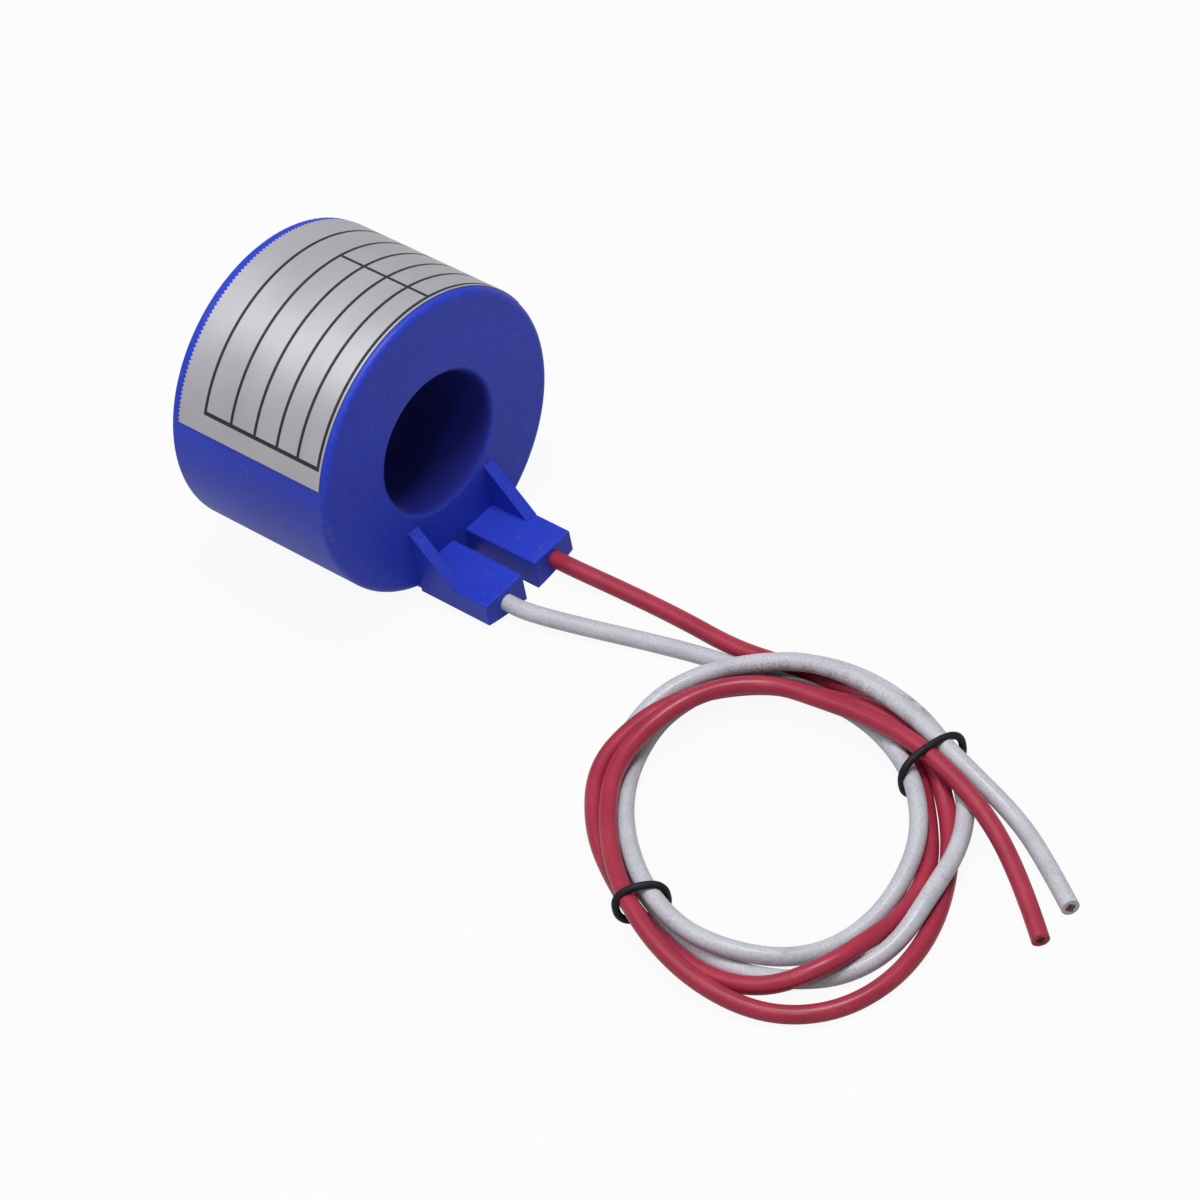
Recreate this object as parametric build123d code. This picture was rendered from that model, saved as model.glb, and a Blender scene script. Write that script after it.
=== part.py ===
from build123d import *
import os
from math import cos, radians, sin, sqrt, tan

# A ring-type current transformer. The bore runs along Y, the face with the lead blocks looks along -Y,
# and the housing lies on its round side, with the lead blocks at the bottom.
# The origin is the middle of the bore. Millimetres throughout.

# Wound core: strip-steel toroid, insulating wrap, secondary winding, outer tape
core_build = 8.2
core_length = 26.7
core_wrap_thickness = 0.4
winding_thickness = 1.4
tape_thickness = 0.4
winding_wire = 1.2
wire_engagement = 2.0
wire_root = 1.0
wire_clearance = 0.05

# Housing: a round moulded cup, closed at the front, with a tube through it for the primary conductor
bore_radius = 15.5
bore_wall = 2.0
side_wall = 2.2
front_wall = 2.5
front_round = 1.6
bore_round = 1.6
back_round = 0.8

# Room in the cup round the wound core, which resin fills up to a little below the rim
core_gap = 0.85
splice_room = 6.0
resin_cover = 3.8
resin_recess = 0.8

# Lead blocks: two bosses at the foot of the front face, each with a gusset on its outer side
block_gap = 3.7
block_width = 11.6
block_length = 19.5
block_height = 7.4
block_under_radius = 50.0
block_edge = 0.45
gusset_rise = 11.2
gusset_foot = 10.0
gusset_thickness = 2.9

# Leads: stranded copper in a soft sleeve
lead_diameter = 3.8
lead_clearance = 0.05
lead_entry = 1.0
lead_straight = 5.6

# Label: a thin foil on its adhesive, round the upper side of the housing, with angles from +X towards +Z
label_thickness = 0.15
label_adhesive = 0.08
label_front_margin = 1.6
label_back_margin = 2.1
label_angles = (25.0, 160.7)

# Coil of both leads: an oval ring on the surface that the housing lies on.
# Centres and route points are measured from the middle of the blocks' outer ends.
coil_angle = 55.0
coil_outer_centre = (-24.6, -89.0)
coil_outer_axes = (49.5, 38.2)
coil_inner_centre = (-25.2, -85.4)
coil_inner_axes = (36.1, 27.3)
coil_height = 9.4
coil_round = 2.4

# Ties: two rubber rings round the coil, each from an angle on its inner oval to one on its outer oval
tie_section = 1.4
tie_corner = 2.6
tie_clearance = 0.05
tie_angles = {"tie_near_tails": (271.0, 280.0), "tie_far": (105.0, 98.0)}

# Route points of the stretches outside the coil: to it, after a straight way out of the block,
# and from it to the cut ends. The third number is the height of the lead's middle over the floor.
white_run_points = [
    (-3.5, -17.4, 2.5),
    (1.0, -31.6, 2.1),
    (4.2, -45.6, 2.2),
    (6.6, -57.4, 3.2),
]
red_run_points = [
    (9.2, -17.9, 2.5),
    (10.0, -33.2, 2.1),
    (10.2, -47.0, 2.2),
    (10.6, -59.4, 3.2),
]
white_tail_points = [
    (8.0, -98.9, 5.6),
    (8.0, -107.4, 5.6),
    (5.0, -118.4, 4.6),
    (-2.3, -134.4, 2.4),
    (-10.3, -147.7, 1.9),
]
red_tail_points = [
    (4.6, -97.9, 6.5),
    (4.2, -106.9, 6.5),
    (-0.4, -118.4, 6.0),
    (-9.3, -134.7, 3.6),
    (-19.9, -148.0, 1.9),
]
# An arc at a route point takes up this share of the shorter run beside it
arc_share = 0.45

# Every cut runs this far past what it cuts
overrun = 1.0

wound_build = core_wrap_thickness + winding_thickness + tape_thickness
tube_radius = bore_radius + bore_wall
core_inner_radius = tube_radius + core_gap + wound_build
core_outer_radius = core_inner_radius + core_build
winding_outer_radius = core_outer_radius + core_wrap_thickness + winding_thickness
cavity_radius = core_outer_radius + wound_build + core_gap
outer_radius = cavity_radius + side_wall
cavity_length = splice_room + wound_build * 2 + core_length + resin_cover + resin_recess
housing_length = front_wall + cavity_length

front = -housing_length / 2
back = housing_length / 2
floor = -outer_radius
cavity_front = front + front_wall
resin_level = back - resin_recess
wound_front = cavity_front + splice_room
core_front = wound_front + wound_build
core_back = core_front + core_length

block_top = floor + block_height
block_end = front - block_length
block_side = block_gap / 2 + block_width
block_middle = (block_gap + block_width) / 2
gusset_top = block_top + gusset_rise
lead_radius = lead_diameter / 2
block_under_middle = floor + block_under_radius
block_under = block_under_middle - sqrt(block_under_radius**2 - block_middle**2)
lead_height = (block_top + block_under) / 2
lead_end = cavity_front + lead_entry
channel_radius = lead_radius + lead_clearance
sides = {"white": -1, "red": 1}


def revolved(profile):
    return revolve(profile, axis=Axis.Y)


def section(*points):
    return make_face(Polyline(*points, close=True))


def rounded(profile, corners):
    for point, radius in corners:
        profile = fillet(profile.vertices().sort_by_distance((*point, 0))[0], radius)
    return profile


def rod(side_x, height, radius, start, end):
    # A round bar along Y
    return Pos(side_x, start, height) * extrude(Plane.XZ * Circle(radius), start - end)


def make_cup():
    profile = section(
        (bore_radius, front),
        (outer_radius, front),
        (outer_radius, back),
        (cavity_radius, back),
        (cavity_radius, cavity_front),
        (tube_radius, cavity_front),
        (tube_radius, back),
        (bore_radius, back),
    )
    profile = rounded(
        profile,
        [
            ((bore_radius, front), bore_round),
            ((outer_radius, back), back_round),
            ((bore_radius, back), back_round),
        ],
    )
    return revolved(profile)


def make_block():
    # The block's underside is a flatter arc than the housing's round side and meets it at the foot
    outline = Pos(block_middle, block_top - block_height / 2) * Rectangle(block_width, block_height)
    outline = outline & Pos(0, block_under_middle) * Circle(block_under_radius)
    block = Pos(0, front, 0) * extrude(Plane.XZ * outline, block_length)
    rims = block.edges().filter_by_position(Axis.Y, block_end, block_end)
    top_edges = block.edges().filter_by(Axis.Y).group_by(Axis.Z)[-1]
    return fillet(rims + top_edges, block_edge)


def make_gusset():
    # A fin along the block's outer side, from the front face down to the block's top
    outline = section(
        (front, gusset_top),
        (front - gusset_foot, block_top),
        (front - gusset_foot, block_top - gusset_thickness),
        (front, block_top - gusset_thickness),
    )
    return Pos(block_side - gusset_thickness, 0, 0) * extrude(Plane.YZ * outline, gusset_thickness)


def make_rim_cut():
    # What the rounding of the front rim takes away; it stops at the blocks
    corner = section(
        (outer_radius - front_round, front - overrun),
        (outer_radius + overrun, front - overrun),
        (outer_radius + overrun, front + front_round),
        (outer_radius - front_round, front + front_round),
    )
    corner -= Pos(outer_radius - front_round, front + front_round) * Circle(front_round)
    below_bore = (Align.CENTER, Align.CENTER, Align.MAX)
    keep_clear = Box(block_side * 2, housing_length, outer_radius + overrun, align=below_bore)
    return revolved(corner) - Pos(0, front, 0) * keep_clear


def make_housing():
    arm = make_block() + make_gusset()
    housing = make_cup() + arm + mirror(arm, Plane.YZ) - make_rim_cut()
    for side in sides.values():
        housing -= rod(side * block_middle, lead_height, channel_radius, wound_front, block_end - overrun)
    return housing


def make_label():
    inner_radius = outer_radius + label_adhesive
    ring = Circle(inner_radius + label_thickness) - Circle(inner_radius)
    reach = outer_radius * 2
    start, end = (radians(angle) for angle in label_angles)
    corners = [(reach * cos(a), reach * sin(a)) for a in (start, (start + end) / 2, end)]
    wedge = section((0, 0), *corners)
    label_back = back - label_back_margin
    label_front = front + label_front_margin
    return Pos(0, label_back, 0) * extrude(Plane.XZ * (ring & wedge), label_back - label_front)


def wound_outline(build):
    # The core's section grown by a build of wrap and wire, round at its corners
    core = section(
        (core_inner_radius, core_front),
        (core_outer_radius, core_front),
        (core_outer_radius, core_back),
        (core_inner_radius, core_back),
    )
    return offset(core, build) if build else core


def winding_end(side):
    # Where a winding end leaves the winding: on the splice's line, at the winding's outer turns
    reach = winding_outer_radius - winding_wire / 2 - wire_clearance * 2
    line = sqrt(block_middle**2 + lead_height**2)
    return side * block_middle * reach / line, lead_height * reach / line


def winding_end_hole(side):
    x, z = winding_end(side)
    return rod(x, z, winding_wire / 2 + wire_clearance, core_front, wound_front - wire_engagement)


def make_wound_parts():
    inner = core_wrap_thickness
    middle = inner + winding_thickness
    parts = {
        "core": revolved(wound_outline(0)),
        "core_wrap": revolved(wound_outline(inner) - wound_outline(0)),
        "secondary_winding": revolved(wound_outline(middle) - wound_outline(inner)),
        "winding_tape": revolved(wound_outline(wound_build) - wound_outline(middle)),
    }
    for name, side in sides.items():
        x, z = winding_end(side)
        wire_start = core_front - core_wrap_thickness - wire_root
        wire = rod(x, z, winding_wire / 2, wire_start, wound_front - wire_engagement)
        parts["secondary_winding"] += wire
        parts["winding_tape"] -= winding_end_hole(side)
        sleeve = rod(side * block_middle, lead_height, lead_radius, wound_front, lead_end)
        parts[f"splice_{name}"] = sleeve - winding_end_hole(side)
    return parts


def make_resin():
    fill = section(
        (tube_radius, cavity_front),
        (cavity_radius, cavity_front),
        (cavity_radius, resin_level),
        (tube_radius, resin_level),
    )
    resin = revolved(fill - wound_outline(wound_build))
    for side in sides.values():
        resin -= rod(side * block_middle, lead_height, channel_radius, wound_front, front)
        resin -= winding_end_hole(side)
    return resin


def ellipse_point(centre, axes, angle):
    u, v = axes[0] * cos(radians(angle)), axes[1] * sin(radians(angle))
    turn = radians(coil_angle)
    return Vector(
        centre[0] + u * cos(turn) - v * sin(turn),
        block_end + centre[1] + u * sin(turn) + v * cos(turn),
    )


def make_coil():
    outer = Pos(*coil_outer_centre) * Rot(0, 0, coil_angle) * Ellipse(*coil_outer_axes)
    inner = Pos(*coil_inner_centre) * Rot(0, 0, coil_angle) * Ellipse(*coil_inner_axes)
    ring = Pos(0, block_end, floor) * extrude(outer - inner, coil_height)
    return fillet(ring.edges(), coil_round)


def tie_plane(inner_angle, outer_angle):
    # The upright plane of a tie, its centre, and the width of the coil there
    inside = ellipse_point(coil_inner_centre, coil_inner_axes, inner_angle)
    outside = ellipse_point(coil_outer_centre, coil_outer_axes, outer_angle)
    across = outside - inside
    middle = (outside + inside) / 2 + Vector(0, 0, floor + (coil_height + tie_section / 2) / 2)
    return Plane(middle, x_dir=across, z_dir=across.cross(Vector(0, 0, 1))), across.length


def make_tie(angles):
    plane, width = tie_plane(*angles)
    loop = plane * RectangleRounded(width, coil_height - tie_section / 2, tie_corner)
    path = loop.wire()
    return sweep(Plane(path @ 0, z_dir=path % 0) * Circle(tie_section / 2), path=path)


def make_tie_groove(angles):
    # The waist that a tie pinches into the coil
    plane, width = tie_plane(*angles)
    depth = tie_section + tie_clearance * 2
    waist = RectangleRounded(width - depth, coil_height - tie_section / 2 - depth, tie_corner - depth / 2)
    band = Rectangle(width + coil_height, coil_height * 2) - waist
    return extrude(plane * band, depth / 2, both=True)


def lead_tube(name, points):
    corners = [Vector(0, block_end, floor) + Vector(*p) for p in points]
    radii = []
    for before, corner, after in zip(corners, corners[1:], corners[2:]):
        half = radians((corner - before).get_angle(after - corner)) / 2
        shorter = min((corner - before).length, (after - corner).length)
        radii.append(arc_share * shorter / tan(half))
    path = FilletPolyline(*corners, radius=radii)
    tube = sweep(Plane(path @ 0, z_dir=path % 0) * Circle(lead_radius), path=path)
    print(name, "length", round(path.length, 1), "radii", [round(r, 1) for r in radii])
    return tube


def make_leads():
    coil = make_coil()
    ties = {name: make_tie(angle) for name, angle in tie_angles.items()}
    for angles in tie_angles.values():
        coil -= make_tie_groove(angles)
    parts = {"lead_coil": coil, **ties}
    runs = {"white": white_run_points, "red": red_run_points}
    tails = {"white": white_tail_points, "red": red_tail_points}
    for name, side in sides.items():
        inner_end = (side * block_middle, lead_end - block_end, lead_height - floor)
        way_out = (side * block_middle, -lead_straight, lead_height - floor)
        parts[f"{name}_lead_run"] = lead_tube(f"{name} run", [inner_end, way_out] + runs[name]) - coil
        parts[f"{name}_lead_tail"] = lead_tube(f"{name} tail", tails[name]) - coil
    return parts


parts = {
    "housing": make_housing(),
    "potting_resin": make_resin(),
    "label": make_label(),
    **make_wound_parts(),
    **make_leads(),
}
os.makedirs("parts", exist_ok=True)
for name, shape in parts.items():
    export_step(shape, f"parts/{name}.step")
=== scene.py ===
import bpy
import math
from functools import reduce
from mathutils import Matrix, Vector


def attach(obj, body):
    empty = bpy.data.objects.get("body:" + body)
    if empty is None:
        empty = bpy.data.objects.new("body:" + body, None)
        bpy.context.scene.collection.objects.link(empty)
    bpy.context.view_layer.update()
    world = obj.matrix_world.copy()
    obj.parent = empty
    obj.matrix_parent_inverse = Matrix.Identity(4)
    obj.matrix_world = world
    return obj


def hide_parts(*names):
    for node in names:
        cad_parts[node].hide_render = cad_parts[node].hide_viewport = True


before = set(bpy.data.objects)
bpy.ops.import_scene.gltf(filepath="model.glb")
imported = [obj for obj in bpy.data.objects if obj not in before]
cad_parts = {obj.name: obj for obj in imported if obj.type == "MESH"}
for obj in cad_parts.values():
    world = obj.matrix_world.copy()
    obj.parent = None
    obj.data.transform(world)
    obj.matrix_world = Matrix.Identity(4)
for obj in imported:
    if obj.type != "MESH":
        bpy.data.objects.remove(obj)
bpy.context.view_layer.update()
scene = bpy.context.scene
scene.view_settings.view_transform = "Standard"
mm = 0.001
print("frame loaded:", len(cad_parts), "nodes")


class Socket:
    # wraps a shader socket, so that maths on it reads as plain expressions
    def __init__(self, tree, out=None):
        self.tree = tree
        self.out = out

    def node(self, kind, settings=None, inputs=None, output=0):
        made = self.tree.nodes.new(kind)
        for key, value in (settings or {}).items():
            setattr(made, key, value)
        for key, value in (inputs or {}).items():
            if isinstance(value, Socket):
                self.tree.links.new(value.out, made.inputs[key])
            else:
                made.inputs[key].default_value = value
        return Socket(self.tree, made.outputs[output])

    def maths(self, operation, *values):
        return self.node("ShaderNodeMath", {"operation": operation}, dict(enumerate(values)))

    def __add__(self, other):
        return self.maths("ADD", self, other)

    def __sub__(self, other):
        return self.maths("SUBTRACT", self, other)

    def __rsub__(self, other):
        return self.maths("SUBTRACT", other, self)

    def __mul__(self, other):
        return self.maths("MULTIPLY", self, other)

    def __lt__(self, other):
        return self.maths("LESS_THAN", self, other)

    def __gt__(self, other):
        return self.maths("GREATER_THAN", self, other)

    def __abs__(self):
        return self.maths("ABSOLUTE", self)

    __radd__ = __add__
    __rmul__ = __mul__

    def either(self, other):
        return self.maths("MAXIMUM", self, other)

    def span(self, low, high, newLow=0.0, newHigh=1.0):
        ends = {"From Min": low, "From Max": high, "To Min": newLow, "To Max": newHigh}
        settings = {"interpolation_type": "SMOOTHSTEP"}
        return self.node("ShaderNodeMapRange", settings, {"Value": self, **ends})

    def mix(self, first, second):
        # a Mix node's colour sockets go by number, because their names repeat
        sockets = {0: self, 6: first, 7: second}
        return self.node("ShaderNodeMix", {"data_type": "RGBA"}, sockets, 2)

    def objectPlace(self):
        return self.node("ShaderNodeTexCoord", output="Object")

    def parts(self, place):
        split = self.node("ShaderNodeSeparateXYZ", {}, {"Vector": place}).out.node
        return [Socket(self.tree, out) for out in split.outputs]

    def boreDistance(self, place):
        x, _, z = self.parts(place)
        return self.maths("SQRT", x * x + z * z)

    def boreAngle(self, place):
        x, _, z = self.parts(place)
        return self.maths("ARCTAN2", z, x)

    def noise(self, place, scale, detail, roughness=0.5):
        values = {"Vector": place, "Scale": scale, "Detail": detail, "Roughness": roughness}
        return self.node("ShaderNodeTexNoise", {}, values, "Fac")

    def bump(self, height, depth, strength):
        values = {"Strength": strength, "Distance": depth, "Height": height}
        return self.node("ShaderNodeBump", {}, values)


def rgb(red, green, blue):
    return (red, green, blue, 1.0)


def newMaterial(name, fixed):
    material = bpy.data.materials.new(name)
    material.use_nodes = True
    shader = material.node_tree.nodes["Principled BSDF"]
    for key, value in fixed.items():
        shader.inputs[key].default_value = value
    return material, Socket(material.node_tree), shader


def feed(shader, **sockets):
    names = {
        "colour": "Base Color",
        "roughness": "Roughness",
        "metallic": "Metallic",
        "normal": "Normal",
    }
    for key, socket in sockets.items():
        socket.tree.links.new(socket.out, shader.inputs[names[key]])


def dress(piece, material):
    piece.data.materials.clear()
    piece.data.materials.append(material)


# Finishes

plasticLook = {
    "blue": rgb(0.012, 0.037, 0.50),
    "deepBlue": rgb(0.009, 0.030, 0.45),
    "scuffed": rgb(0.06, 0.09, 0.50),
    "speckled": rgb(0.13, 0.15, 0.50),
    # painted shade: the deep blue put inside the bore, standing in for the shade that falls there
    "paintedBoreShade": rgb(0.003, 0.004, 0.13),
    "cloud": {"scale": 45, "detail": 3},
    "grain": {"scale": 3200, "detail": 1},
    "scuff": {"scale": 260, "detail": 6, "roughness": 0.65},
    "scuffAmount": 0.5,
    "speckleAmount": 0.16,
    "boreShadeAmount": 0.85,
    "boreShadeEdge": (15.6 * mm, 17.0 * mm),  # from the bore's axis, where the painted shade inside the bore ends
    "roughness": 0.33,
    "grainDepth": 0.03 * mm,
}


def mouldedPlastic():
    look = plasticLook
    material, s, shader = newMaterial("mouldedPlastic", {"IOR": 1.46, "Specular IOR Level": 0.3})
    place = s.objectPlace()
    cloud = s.noise(place, **look["cloud"])
    grain = s.noise(place, **look["grain"])
    scuff = s.noise(place, **look["scuff"]).span(0.58, 0.74) * look["scuffAmount"]
    # the inside of the bore, where painted shade is put
    shadedBore = s.boreDistance(place).span(*look["boreShadeEdge"], 1.0, 0.0)
    colour = cloud.span(0.35, 0.65).mix(look["deepBlue"], look["blue"])
    colour = scuff.mix(colour, look["scuffed"])
    colour = (grain.span(0.3, 0.7) * look["speckleAmount"]).mix(colour, look["speckled"])
    # painted shade: the inside of the bore turns a darker blue
    colour = (shadedBore * look["boreShadeAmount"]).mix(colour, look["paintedBoreShade"])
    dullness = cloud * 0.1 + scuff * 0.25 + grain * 0.06 + shadedBore * 0.4
    feed(
        shader,
        colour=colour,
        roughness=look["roughness"] + dullness,
        normal=s.bump(grain, look["grainDepth"], strength=0.35),
    )
    return material


resinLook = {
    "dark": rgb(0.007, 0.009, 0.045),
    "light": rgb(0.014, 0.018, 0.085),
    "specked": rgb(0.06, 0.07, 0.14),
    "swell": {"scale": 70, "detail": 2},
    "speck": {"scale": 1500, "detail": 2},
    "speckAmount": 0.5,
    "roughness": 0.14,
    "swellDepth": 1.2 * mm,
}


def castResin():
    look = resinLook
    material, s, shader = newMaterial("castResin", {"IOR": 1.54, "Coat Weight": 0.3})
    place = s.objectPlace()
    swell = s.noise(place, **look["swell"])
    speck = s.noise(place, **look["speck"]).span(0.66, 0.72)
    colour = swell.mix(look["dark"], look["light"])
    colour = (speck * look["speckAmount"]).mix(colour, look["specked"])
    feed(
        shader,
        colour=colour,
        roughness=look["roughness"] + swell * 0.16,
        normal=s.bump(swell, look["swellDepth"], strength=0.5),
    )
    return material


# lines run round the housing at these places along it, and two more lines cross them
labelLook = {
    "silver": rgb(0.43, 0.43, 0.465),
    "paleSilver": rgb(0.48, 0.48, 0.515),
    "ink": rgb(0.006, 0.006, 0.008),
    "lines": [12.5 * mm, 5.1 * mm, -1.6 * mm, -8.0 * mm, -13.9 * mm, -19.65 * mm],
    "lineWidth": 0.76 * mm,
    "frameWidth": 0.95 * mm,
    "frameAngle": math.radians(152.6),
    "crossAngle": math.radians(76.3),
    "radius": 34.2 * mm,
    "wear": {"scale": 3000, "detail": 3},
    "cloud": {"scale": 55, "detail": 3},
    "metallic": 0.5,
    "roughness": 0.37,
    "wearDepth": 0.02 * mm,
}


def silverFilm():
    look = labelLook
    material, s, shader = newMaterial("silverFilm", {"IOR": 1.5})
    place = s.objectPlace()
    _, along, _ = s.parts(place)
    angle = s.boreAngle(place)
    half = look["lineWidth"] / 2
    inFrame = angle < look["frameAngle"] + half / look["radius"]
    stripes = [(abs(along - line) < half) * inFrame for line in look["lines"]]
    crossing = [
        (look["frameAngle"], look["lines"][0], look["frameWidth"]),
        (look["crossAngle"], look["lines"][1], look["lineWidth"]),
    ]
    for turn, top, width in crossing:
        inTable = (along < top + half) * (along > look["lines"][-1] - half)
        stripes.append((abs(angle - turn) < width / 2 / look["radius"]) * inTable)
    wear = s.noise(place, **look["wear"])
    ink = reduce(Socket.either, stripes) * wear.span(0.2, 0.42, 0.85, 1.0)
    cloud = s.noise(place, **look["cloud"])
    colour = cloud.span(0.3, 0.7).mix(look["silver"], look["paleSilver"])
    feed(
        shader,
        colour=ink.mix(colour, look["ink"]),
        roughness=look["roughness"] + cloud * 0.12 + ink * 0.15,
        metallic=(1 - ink) * look["metallic"],
        normal=s.bump(wear, look["wearDepth"], strength=0.4),
    )
    return material


sleeveLook = {
    "cloud": {"scale": 120, "detail": 3},
    "grain": {"scale": 2400, "detail": 2},
    "patch": {"scale": 75, "detail": 5, "roughness": 0.62},
    "mottle": {"scale": 900, "detail": 3, "roughness": 0.6},
    "grainAmount": 0.3,
    "spotCore": 0.25,  # share of a spot's reach that is fully soiled
    "roughness": 0.27,
    "grainDepth": 0.03 * mm,
}
whiteLook = {
    "name": "whiteSleeve",
    "light": rgb(0.53, 0.53, 0.585),
    "shade": rgb(0.47, 0.47, 0.525),
    "soil": rgb(0.12, 0.12, 0.13),
    "soilAmount": 0.62,
    # handling dirt, as places on the sleeve and reaches in mm
    "spots": [
        ((-0.9, -98.1, -26.1), 2.5), ((0.6, -100.5, -25.5), 2.8), ((2.0, -102.8, -24.9), 2.8),
        ((3.4, -105.2, -24.5), 2.6), ((4.7, -107.5, -24.2), 2.5), ((6.7, -112.4, -23.8), 2.2),
        ((7.6, -118.1, -23.4), 2.5), ((7.7, -121.3, -23.3), 2.7), ((7.7, -124.5, -23.2), 2.8),
        ((7.6, -128.0, -23.2), 2.7), ((7.5, -131.4, -23.2), 2.5), ((6.6, -138.7, -23.7), 2.2),
        ((14.5, -131.9, -27.6), 2.3), ((13.5, -136.5, -28.1), 2.5),
    ],
}
redLook = {
    "name": "redSleeve",
    "light": rgb(0.38, 0.028, 0.062),
    "shade": rgb(0.32, 0.022, 0.050),
    "soil": rgb(0.12, 0.01, 0.02),
    "soilAmount": 0.4,
    "spots": [],
}


def softSleeve(own):
    look = sleeveLook
    material, s, shader = newMaterial(own["name"], {"IOR": 1.46, "Specular IOR Level": 0.35})
    place = s.objectPlace()
    cloud = s.noise(place, **look["cloud"])
    grain = s.noise(place, **look["grain"])
    patch = s.noise(place, **look["patch"]).span(0.6, 0.72)
    smudge = patch * s.noise(place, **look["mottle"]).span(0.38, 0.62)
    for spot, reach in own["spots"]:
        ends = {0: place, 1: Vector(spot) * mm}
        away = s.node("ShaderNodeVectorMath", {"operation": "DISTANCE"}, ends, "Value")
        dirt = away.span(reach * mm * look["spotCore"], reach * mm, 1.0, 0.0)
        smudge = smudge.either(dirt * grain.span(0.25, 0.7))
    colour = cloud.span(0.3, 0.7).mix(own["shade"], own["light"])
    colour = (grain.span(0.35, 0.75) * look["grainAmount"]).mix(colour, own["soil"])
    colour = (smudge * own["soilAmount"]).mix(colour, own["soil"])
    feed(
        shader,
        colour=colour,
        roughness=look["roughness"] + cloud * 0.1 + smudge * 0.2,
        normal=s.bump(grain, look["grainDepth"], strength=0.3),
    )
    return material


rubberLook = {
    "dark": rgb(0.003, 0.003, 0.005),
    "light": rgb(0.010, 0.010, 0.014),
    "grain": {"scale": 1800, "detail": 4, "roughness": 0.6},
    "roughness": 0.48,
    "grainDepth": 0.06 * mm,
}


def blackRubber():
    look = rubberLook
    material, s, shader = newMaterial("blackRubber", {"IOR": 1.45, "Specular IOR Level": 0.3})
    grain = s.noise(s.objectPlace(), **look["grain"])
    feed(
        shader,
        colour=grain.span(0.35, 0.7).mix(look["dark"], look["light"]),
        roughness=look["roughness"] + grain * 0.2,
        normal=s.bump(grain, look["grainDepth"], strength=0.5),
    )
    return material


copperLook = {
    "dark": rgb(0.04, 0.014, 0.010),
    "bright": rgb(0.22, 0.075, 0.045),
    "tarnish": {"scale": 2500, "detail": 3},
    "roughness": 0.3,
}


def darkCopper():
    look = copperLook
    material, s, shader = newMaterial("darkCopper", {"Metallic": 1.0})
    tarnish = s.noise(s.objectPlace(), **look["tarnish"])
    colour = tarnish.span(0.35, 0.65).mix(look["dark"], look["bright"])
    feed(shader, colour=colour, roughness=look["roughness"] + tarnish * 0.3)
    return material


# edges of the strip show as fine rings round the bore's axis
steelLook = {
    "dark": rgb(0.30, 0.30, 0.32),
    "bright": rgb(0.52, 0.52, 0.54),
    "cloud": {"scale": 400, "detail": 3},
    "ringRate": 20000,  # radians per metre
    "roughness": 0.34,
}


def woundSteel():
    look = steelLook
    material, s, shader = newMaterial("woundSteel", {"Metallic": 1.0})
    place = s.objectPlace()
    ring = s.maths("SINE", s.boreDistance(place) * look["ringRate"])
    cloud = s.noise(place, **look["cloud"])
    feed(
        shader,
        colour=cloud.mix(look["dark"], look["bright"]),
        roughness=look["roughness"] + ring * 0.05 + cloud * 0.1,
    )
    return material


tapeLook = {
    "under": rgb(0.62, 0.42, 0.10),
    "over": rgb(0.74, 0.55, 0.19),
    "cloud": {"scale": 300, "detail": 3},
    "lapsPerRadian": 5.7,
    "lapDepth": 0.2 * mm,
    "roughness": 0.3,
}


def wrappedTape():
    look = tapeLook
    material, s, shader = newMaterial("wrappedTape", {"IOR": 1.5})
    place = s.objectPlace()
    lap = s.maths("FRACT", s.boreAngle(place) * look["lapsPerRadian"])
    cloud = s.noise(place, **look["cloud"])
    feed(
        shader,
        colour=lap.mix(look["under"], look["over"]),
        roughness=look["roughness"] + cloud * 0.2,
        normal=s.bump(lap, look["lapDepth"], strength=0.6),
    )
    return material


wireLook = {
    # the wire's shaded and lit colours, for painted shade in the grooves and a painted highlight on
    # each turn's crest
    "dark": rgb(0.16, 0.05, 0.02),
    "bright": rgb(0.55, 0.20, 0.07),
    "crestHighlightAmount": 0.7,
    "cloud": {"scale": 300, "detail": 3},
    "turns": 40,
    "wireDepth": 0.4 * mm,
    "roughness": 0.25,
}


def enamelledWire():
    look = wireLook
    material, s, shader = newMaterial("enamelledWire", {"Metallic": 0.9})
    place = s.objectPlace()
    # painted light and shade: each turn of the wire is lighter along its crest and darker in the
    # groove beside the next turn
    wire = s.maths("SINE", s.boreAngle(place) * look["turns"]).span(-1.0, 1.0)
    cloud = s.noise(place, **look["cloud"])
    feed(
        shader,
        colour=(wire * look["crestHighlightAmount"]).mix(look["dark"], look["bright"]),
        roughness=look["roughness"] + cloud * 0.15,
        normal=s.bump(wire, look["wireDepth"], strength=0.8),
    )
    return material


tinLook = {
    "dark": rgb(0.42, 0.41, 0.38),
    "bright": rgb(0.66, 0.65, 0.62),
    "cloud": {"scale": 900, "detail": 4},
    "roughness": 0.28,
}


def tinnedMetal():
    look = tinLook
    material, s, shader = newMaterial("tinnedMetal", {"Metallic": 1.0})
    cloud = s.noise(s.objectPlace(), **look["cloud"])
    colour = cloud.mix(look["dark"], look["bright"])
    feed(shader, colour=colour, roughness=look["roughness"] + cloud * 0.2)
    return material


film = silverFilm()
whiteSleeve = softSleeve(whiteLook)
redSleeve = softSleeve(redLook)
rubber = blackRubber()
copper = darkCopper()
tape = wrappedTape()
tin = tinnedMetal()

carriedOver = {
    "housing": mouldedPlastic(),
    "potting_resin": castResin(),
    "core": woundSteel(),
    "core_wrap": tape,
    "secondary_winding": enamelledWire(),
    "winding_tape": tape,
    "splice_white": tin,
    "splice_red": tin,
}
for nodeName, material in carriedOver.items():
    dress(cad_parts[nodeName], material)
print("finishes on", len(carriedOver), "CAD nodes")


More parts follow.
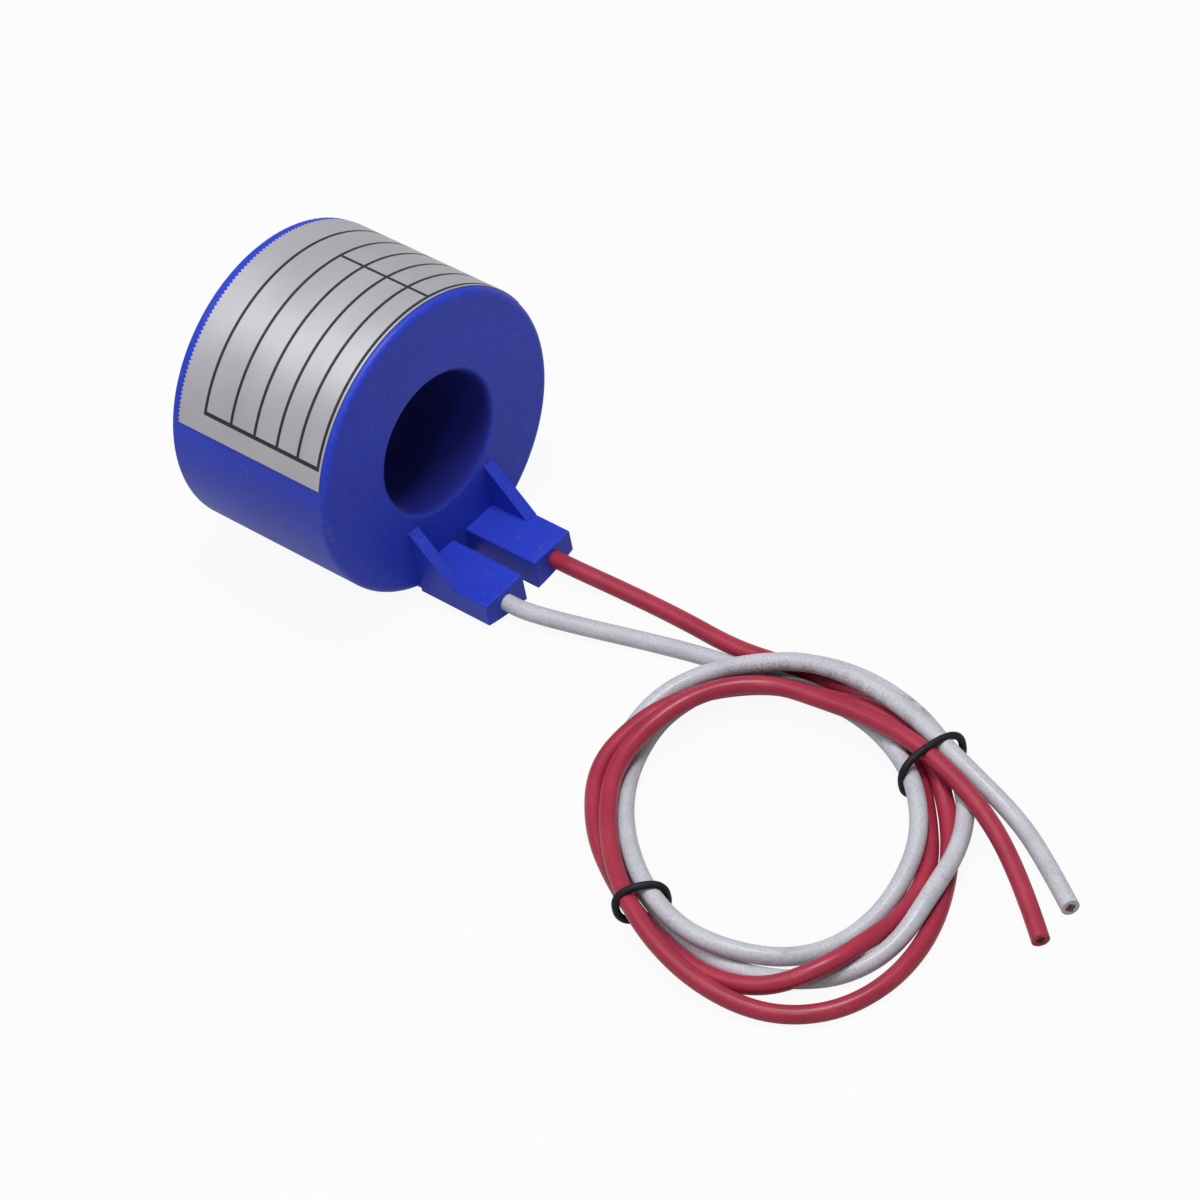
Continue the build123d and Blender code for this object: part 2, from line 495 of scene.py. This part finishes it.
# Camera, where the photograph was taken from

view = {
    "azimuth": math.radians(-41.17),
    "elevation": math.radians(43.95),
    "roll": math.radians(-11.74),
    "eye": (-0.48972, -0.62186, 0.69213),
    "lens": 150.0,
    "sensorWidth": 36.0,
    "clipStart": 0.01,
}


def makeCamera():
    azimuth, elevation, roll = view["azimuth"], view["elevation"], view["roll"]
    right = Vector((math.cos(azimuth), math.sin(azimuth), 0))
    outward = Vector((math.sin(azimuth), -math.cos(azimuth), 0))
    backward = outward * math.cos(elevation) + Vector((0, 0, math.sin(elevation)))
    up = backward.cross(right)
    rolledRight = right * math.cos(roll) + up * math.sin(roll)
    rolledUp = up * math.cos(roll) - right * math.sin(roll)
    turn = Matrix((rolledRight, rolledUp, backward)).transposed().to_4x4()
    bpy.ops.object.camera_add()
    camera = bpy.context.object
    camera.name = "photoCamera"
    camera.data.lens = view["lens"]
    camera.data.sensor_width = view["sensorWidth"]
    camera.data.clip_start = view["clipStart"]
    camera.matrix_world = Matrix.Translation(view["eye"]) @ turn
    scene.camera = camera


makeCamera()
print("camera placed")


# Round lines, for the leads and the ties


def makeRoundLine(name, points, radius, shape):
    line = bpy.data.curves.new(name, "CURVE")
    line.dimensions = "3D"
    line.bevel_depth = radius
    line.bevel_resolution = shape["roundness"]
    line.use_fill_caps = not shape["closed"]
    spline = line.splines.new("NURBS")
    spline.points.add(len(points) - 1)
    for knot, point in zip(spline.points, points):
        knot.co = (*point, 1.0)
    spline.use_cyclic_u = shape["closed"]
    spline.use_endpoint_u = not shape["closed"]
    spline.order_u = shape["order"]
    spline.resolution_u = shape["steps"]
    piece = bpy.data.objects.new(name, line)
    scene.collection.objects.link(piece)
    return piece


# Leads: from the blocks to the coil, a bit over two turns of the coil each, and out to the cut ends

leadDiameter = 3.8 * mm
leadShape = {"closed": False, "order": 3, "steps": 10, "roundness": 7}
floorHeight = -34.0 * mm
coil = {
    "centre": (-25.2 * mm, -128.2 * mm),
    "semiAxes": (42.35 * mm, 31.87 * mm),
    "turned": math.radians(54.4),
    "step": math.radians(20),
}
# lanes: how far a strand lies outside the coil's middle line, and levels: how far over the floor,
# both in lead diameters, one value for each step and half a turn to a row
whiteLead = {
    "name": "whiteLead",
    "run": [
        (-7.65, -30.0, -30.0), (-7.65, -41.6, -30.0), (-7.65, -47.2, -30.0),
        (-3.5, -59.0, -31.5), (1.0, -73.2, -32.1), (4.2, -86.2, -32.1),
    ],
    "firstAngle": math.radians(345),
    "lanes": [
        0.24, -0.4, -0.6, -1.0, -0.91, -0.99, -1.53, -1.81, -1.71,
        -1.35, -0.88, -0.47, -0.57, -0.84, -0.72, -0.38, -0.04, -0.05,
        0.14, 0.74, 1.24, 1.96, 2.08, 1.46, 0.47, 0.33, 0.06,
        -0.31, -0.41, -0.61, -0.72, -0.37, 0.33, 0.82, 0.52, 0.12,
        -0.6, -0.25, -0.12, 0.62, 2.36,
    ],
    "levels": [
        0.01, 0.0, 0.04, 0.91, 1.31, 0.97, 0.37, 0.0, 0.0,
        0.37, 0.99, 1.21, 1.45, 1.18, 0.54, 0.05, 0.0, 0.12,
        1.15, 1.03, 1.0, 0.5, 0.3, 0.95, 1.1, 0.33, 0.0,
        0.02, 0.0, 0.16, 0.43, 0.15, 0.0, 0.06, 0.9, 1.2,
        2.0, 2.2, 2.4, 2.34, 1.5,
    ],
    "tail": [(2.5, -166.9, -30.75), (-2.0, -177.1, -32.1), (-10.0, -189.9, -32.1)],
    "length": 0.625,
    "nodes": ["white_lead_run", "white_lead_tail", "lead_coil"],
    "slot": "white_sleeve",
}
redLead = {
    "name": "redLead",
    "run": [
        (7.65, -30.0, -30.0), (7.65, -41.6, -30.0), (7.65, -47.2, -30.0),
        (9.2, -59.5, -31.5), (9.8, -74.8, -32.1), (9.1, -89.1, -32.1),
    ],
    "firstAngle": math.radians(337),
    "lanes": [
        0.97, 0.7, 0.6, -0.17, -0.55, -0.36, -0.64, -0.64, 0.07,
        0.6, 0.58, 0.49, 0.59, 1.12, 1.2, 0.06, -0.75, -0.95,
        -0.9, -1.16, -0.33, 0.75, 0.72, 0.74, 1.14, 1.57, 1.89,
        1.84, 1.52, 1.08, 0.58, 0.17, 0.02, -0.85, -1.5, -1.6,
        -1.6, -1.9, -1.35, -0.1,
    ],
    "levels": [
        0.02, 0.0, 0.05, 0.38, 0.22, 0.0, 0.11, 0.81, 1.14,
        0.47, 0.03, 0.29, 0.41, 0.66, 1.03, 1.24, 1.2, 0.8,
        0.6, 0.83, 1.4, 1.2, 0.16, 0.0, 0.03, 0.01, 0.0,
        0.05, 0.6, 1.19, 1.49, 1.47, 1.39, 1.6, 1.9, 1.7,
        1.45, 1.53, 1.73, 2.06,
    ],
    "tail": [(-0.6, -159.6, -26.2), (-8.6, -176.1, -29.9), (-19.8, -190.1, -32.1)],
    "length": 0.635,
    "nodes": ["red_lead_run", "red_lead_tail", "lead_coil"],
    "slot": "red_sleeve",
}


def coilPoint(angle, lane, level):
    a, b = coil["semiAxes"]
    grown = 1 + lane * leadDiameter / math.sqrt(a * b)
    u, v = a * grown * math.cos(angle), b * grown * math.sin(angle)
    cosTurn, sinTurn = math.cos(coil["turned"]), math.sin(coil["turned"])
    x = coil["centre"][0] + u * cosTurn - v * sinTurn
    y = coil["centre"][1] + u * sinTurn + v * cosTurn
    return Vector((x, y, floorHeight + leadDiameter * (level + 0.5)))


def leadPoints(lead):
    points = [Vector(p) * mm for p in lead["run"]]
    for count, (lane, level) in enumerate(zip(lead["lanes"], lead["levels"])):
        points.append(coilPoint(lead["firstAngle"] - coil["step"] * count, lane, level))
    return points + [Vector(p) * mm for p in lead["tail"]]


def makeLead(lead, sleeve):
    piece = makeRoundLine(lead["name"], leadPoints(lead), leadDiameter / 2, leadShape)
    dress(piece, sleeve)
    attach(piece, "root")
    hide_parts(*lead["nodes"])
    return piece


whiteCord = makeLead(whiteLead, whiteSleeve)
redCord = makeLead(redLead, redSleeve)
print("leads laid:", len(leadPoints(whiteLead)), "and", len(leadPoints(redLead)), "points")


# Cut ends: the copper strands that show in each sleeve, in rings round a middle one

strandBundle = {
    "strandRadius": 0.19 * mm,
    "sides": 10,
    "roundedShare": 0.3,
    "showing": 0.25 * mm,
    "sunk": 1.0 * mm,
    "rings": (6, 12),
    "ringGap": 0.4 * mm,
    "ringTwist": 0.3,
    "setBack": (0.0, 0.24 * mm, 0.12 * mm),
    "smoothAngle": math.radians(40),
}


def makeStrand():
    look = strandBundle
    bpy.ops.mesh.primitive_cylinder_add(
        vertices=look["sides"], radius=look["strandRadius"], depth=look["showing"] + look["sunk"]
    )
    bpy.ops.object.mode_set(mode="EDIT")
    bpy.ops.mesh.select_all(action="SELECT")
    rounding = look["strandRadius"] * look["roundedShare"]
    bpy.ops.mesh.bevel(offset=rounding, segments=2, affect="EDGES")
    bpy.ops.object.mode_set(mode="OBJECT")
    return bpy.context.object


def makeCutEnd(name, lead):
    look = strandBundle
    end, before = (Vector(p) * mm for p in (lead["tail"][-1], lead["tail"][-2]))
    outward = (end - before).normalized()
    bundle = makeStrand()
    for ring, count in enumerate(look["rings"], start=1):
        for k in range(count):
            strand = bundle.copy()
            strand.data = bundle.data.copy()
            scene.collection.objects.link(strand)
            around = 2 * math.pi * (k + look["ringTwist"] * ring) / count
            away = ring * look["ringGap"]
            back = look["setBack"][k % len(look["setBack"])]
            strand.location = (away * math.cos(around), away * math.sin(around), -back)
            strand.select_set(True)
    bpy.ops.object.join()
    bundle.name = name
    middle = end + outward * (look["showing"] - look["sunk"]) / 2
    turn = outward.to_track_quat("Z", "Y").to_matrix().to_4x4()
    bundle.matrix_world = Matrix.Translation(middle) @ turn
    bpy.ops.object.transform_apply(location=True, rotation=True, scale=True)
    bpy.ops.object.shade_smooth_by_angle(angle=look["smoothAngle"])
    dress(bundle, copper)
    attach(bundle, "root")
    return bundle


whiteEnd = makeCutEnd("whiteCutEnd", whiteLead)
redEnd = makeCutEnd("redCutEnd", redLead)
print("cut ends made")


# Ties: a rubber ring round the strands that it holds, standing over the line from start to finish,
# with its middle measured along that line and over the floor, all in mm

tieShape = {"closed": True, "order": 4, "steps": 6, "roundness": 5}
tieRing = {
    "sectionRadius": 0.8 * mm,
    "points": 32,
    "squareness": 2.6,  # 2 is an oval, and more draws it toward a rectangle
}
nearTie = {
    "name": "tieNearTails",
    "start": (-3.67, -145.0),
    "finish": (11.33, -148.7),
    "middle": (6.62, 5.7),
    "semiAxes": (7.7, 5.5),
    "node": "tie_near_tails",
}
farTie = {
    "name": "tieFar",
    "start": (-60.36, -117.88),
    "finish": (-52.36, -124.38),
    "middle": (4.5, 5.1),
    "semiAxes": (5.2, 4.7),
    "node": "tie_far",
}


def tiePoints(tie):
    start, finish = (Vector((*p, 0)) * mm for p in (tie["start"], tie["finish"]))
    along = (finish - start).normalized()
    power = tieRing["squareness"]
    points = []
    for k in range(tieRing["points"]):
        turn = 2 * math.pi * k / tieRing["points"]
        c, s = math.cos(turn), math.sin(turn)
        swell = (abs(c) ** power + abs(s) ** power) ** (-1 / power)
        u, v = tie["semiAxes"][0] * c * swell, tie["semiAxes"][1] * s * swell
        point = start + along * (tie["middle"][0] + u) * mm
        point.z = floorHeight + max((tie["middle"][1] + v) * mm, tieRing["sectionRadius"])
        points.append(point)
    return points


def makeTie(tie):
    ring = makeRoundLine(tie["name"], tiePoints(tie), tieRing["sectionRadius"], tieShape)
    bpy.ops.object.select_all(action="DESELECT")
    ring.select_set(True)
    bpy.context.view_layer.objects.active = ring
    bpy.ops.object.convert(target="MESH")
    ring = bpy.context.object
    bpy.ops.object.shade_smooth()
    dress(ring, rubber)
    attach(ring, "root")
    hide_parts(tie["node"])
    return ring


ties = [makeTie(nearTie), makeTie(farTie)]
print("ties made")


# Label: a film spun round the housing, with a finely toothed back edge

labelFilm = {
    "radius": 34.08 * mm,
    "thickness": 0.15 * mm,
    "angles": (math.radians(25.0), math.radians(160.7)),
    "front": -20.5 * mm,
    "back": 20.0 * mm,
    "teeth": 84,
    "toothDepth": 0.55 * mm,
    "smoothAngle": math.radians(30),
}


def spinFilm():
    # one edge of a plane becomes the film's lower edge, and the rest of the plane goes
    look = labelFilm
    start, end = look["angles"]
    length = look["back"] - look["front"]
    bpy.ops.mesh.primitive_plane_add(size=length)
    piece = bpy.context.object
    bpy.ops.object.mode_set(mode="EDIT")
    bpy.ops.mesh.select_all(action="SELECT")
    bpy.ops.mesh.delete(type="ONLY_FACE")
    bpy.ops.mesh.select_all(action="DESELECT")
    bpy.ops.object.mode_set(mode="OBJECT")
    for vertex in piece.data.vertices:
        vertex.select = vertex.co.x > 0
    bpy.ops.object.mode_set(mode="EDIT")
    bpy.ops.mesh.delete(type="VERT")
    bpy.ops.mesh.select_all(action="SELECT")
    shift = (
        look["radius"] * math.cos(end) + length / 2,
        (look["back"] + look["front"]) / 2,
        look["radius"] * math.sin(end),
    )
    bpy.ops.transform.translate(value=shift)
    bpy.ops.mesh.spin(
        steps=look["teeth"] * 2, dupli=False, angle=start - end, center=(0, 0, 0), axis=(0, 1, 0)
    )
    bpy.ops.object.mode_set(mode="OBJECT")
    return piece


def cutTeeth(piece):
    # every other point of the back edge moves forward
    look = labelFilm
    start, end = look["angles"]
    for vertex in piece.data.vertices:
        turn = math.atan2(vertex.co.z, vertex.co.x)
        step = round((end - turn) / (end - start) * look["teeth"] * 2)
        vertex.select = vertex.co.y > 0 and step % 2 == 1
    for part in (*piece.data.edges, *piece.data.polygons):
        part.select = False
    bpy.ops.object.mode_set(mode="EDIT")
    bpy.ops.mesh.select_mode(type="VERT")
    bpy.ops.transform.translate(value=(0, -look["toothDepth"], 0))
    bpy.ops.mesh.select_all(action="SELECT")
    bpy.ops.mesh.normals_make_consistent(inside=False)
    bpy.ops.object.mode_set(mode="OBJECT")


def makeLabel():
    piece = spinFilm()
    piece.name = "labelFilm"
    cutTeeth(piece)
    solid = piece.modifiers.new("thickness", "SOLIDIFY")
    solid.thickness = labelFilm["thickness"]
    solid.offset = 1.0
    bpy.ops.object.modifier_apply(modifier="thickness")
    bpy.ops.object.shade_smooth_by_angle(angle=labelFilm["smoothAngle"])
    dress(piece, film)
    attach(piece, "root")
    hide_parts("label")


makeLabel()
print("label made")


# Floor, light and surroundings

studio = {
    "floorSize": 8.0,
    "floorColour": rgb(0.5, 0.5, 0.5),
    "floorGlow": 0.93,  # share of the floor that the camera sees as plain white
    "world": 0.29,  # how strongly the white surroundings light the scene
    "mirrored": 0.3,  # how much of the plain white is seen in reflections
    # name, place, size in m and power in W
    "lamps": [
        ("backSoftbox", (-0.34, 0.24, 1.02), 0.9, 4.8),
        ("topSoftbox", (0.06, -0.2, 1.1), 0.32, 7.6),
        ("keyLamp", (-0.5, -0.36, 0.88), 0.1, 1.3),
    ],
    "aim": (0.0, -0.06, -0.02),
}


def seenDirectly(s):
    path = s.node("ShaderNodeLightPath")
    rays = {o.name: Socket(s.tree, o) for o in path.out.node.outputs}
    mirrored = rays["Is Glossy Ray"].either(rays["Is Transmission Ray"])
    return rays["Is Camera Ray"].either(mirrored * studio["mirrored"])


def makeFloor():
    bpy.ops.mesh.primitive_plane_add(size=studio["floorSize"], location=(0, 0, floorHeight))
    ground = bpy.context.object
    ground.name = "floor"
    bpy.ops.object.transform_apply(location=True, rotation=True, scale=True)
    material = bpy.data.materials.new("paleFloor")
    material.use_nodes = True
    tree = material.node_tree
    tree.nodes.clear()
    s = Socket(tree)
    matt = s.node("ShaderNodeBsdfDiffuse", {}, {"Color": studio["floorColour"]})
    glow = s.node("ShaderNodeEmission", {}, {"Color": rgb(1, 1, 1), "Strength": 1.0})
    share = seenDirectly(s) * studio["floorGlow"]
    mixed = s.node("ShaderNodeMixShader", {}, {0: share, 1: matt, 2: glow})
    output = tree.nodes.new("ShaderNodeOutputMaterial")
    tree.links.new(mixed.out, output.inputs["Surface"])
    dress(ground, material)


def makeWorld():
    world = bpy.data.worlds.new("studioWorld")
    scene.world = world
    world.use_nodes = True
    background = world.node_tree.nodes["Background"]
    background.inputs["Color"].default_value = rgb(1, 1, 1)
    direct = seenDirectly(Socket(world.node_tree))
    strength = direct * (1.0 - studio["world"]) + studio["world"]
    world.node_tree.links.new(strength.out, background.inputs["Strength"])


def makeLamps():
    for name, place, size, power in studio["lamps"]:
        bpy.ops.object.light_add(type="AREA", location=place)
        lamp = bpy.context.object
        lamp.name = name
        lamp.data.size = size
        lamp.data.energy = power
        aim = Vector(studio["aim"]) - Vector(place)
        lamp.rotation_euler = aim.to_track_quat("-Z", "Y").to_euler()


makeFloor()
makeWorld()
makeLamps()
print("studio lit")
